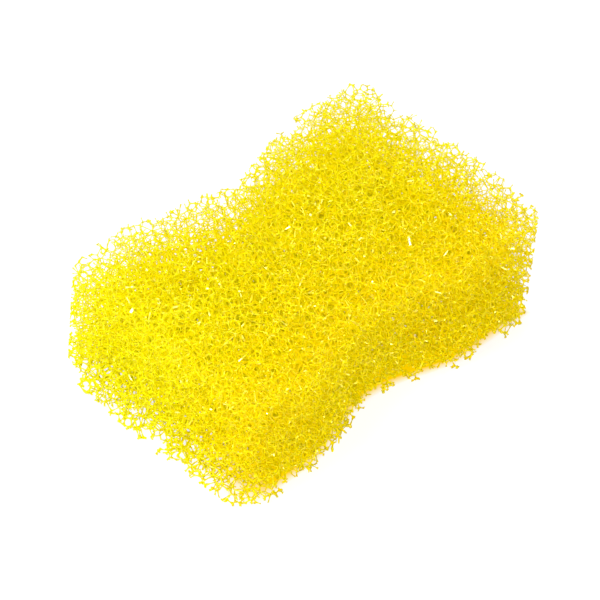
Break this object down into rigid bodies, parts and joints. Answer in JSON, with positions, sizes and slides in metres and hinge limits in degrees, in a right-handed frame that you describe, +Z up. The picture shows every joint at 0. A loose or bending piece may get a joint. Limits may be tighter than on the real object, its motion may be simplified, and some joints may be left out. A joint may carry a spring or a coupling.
{
  "type": "cleaning sponge",
  "caption": "Block of coarse open-cell foam with flat cut faces, rounded corners and a shallow waist on each long side, held in one hand for scrubbing.",
  "frame": {"origin": "on the underside, below the middle of the sponge", "axes": "+X along the length, +Y across the width through the two waists, +Z up through the thickness"},
  "size_m": [0.12, 0.076, 0.04],
  "materials": {
    "foam": "bright yellow open-cell foam, thin smooth struts with a slight gloss"
  },
  "bodies": {
    "root": {"sponge": "foam"}
  },
  "joints": []
}
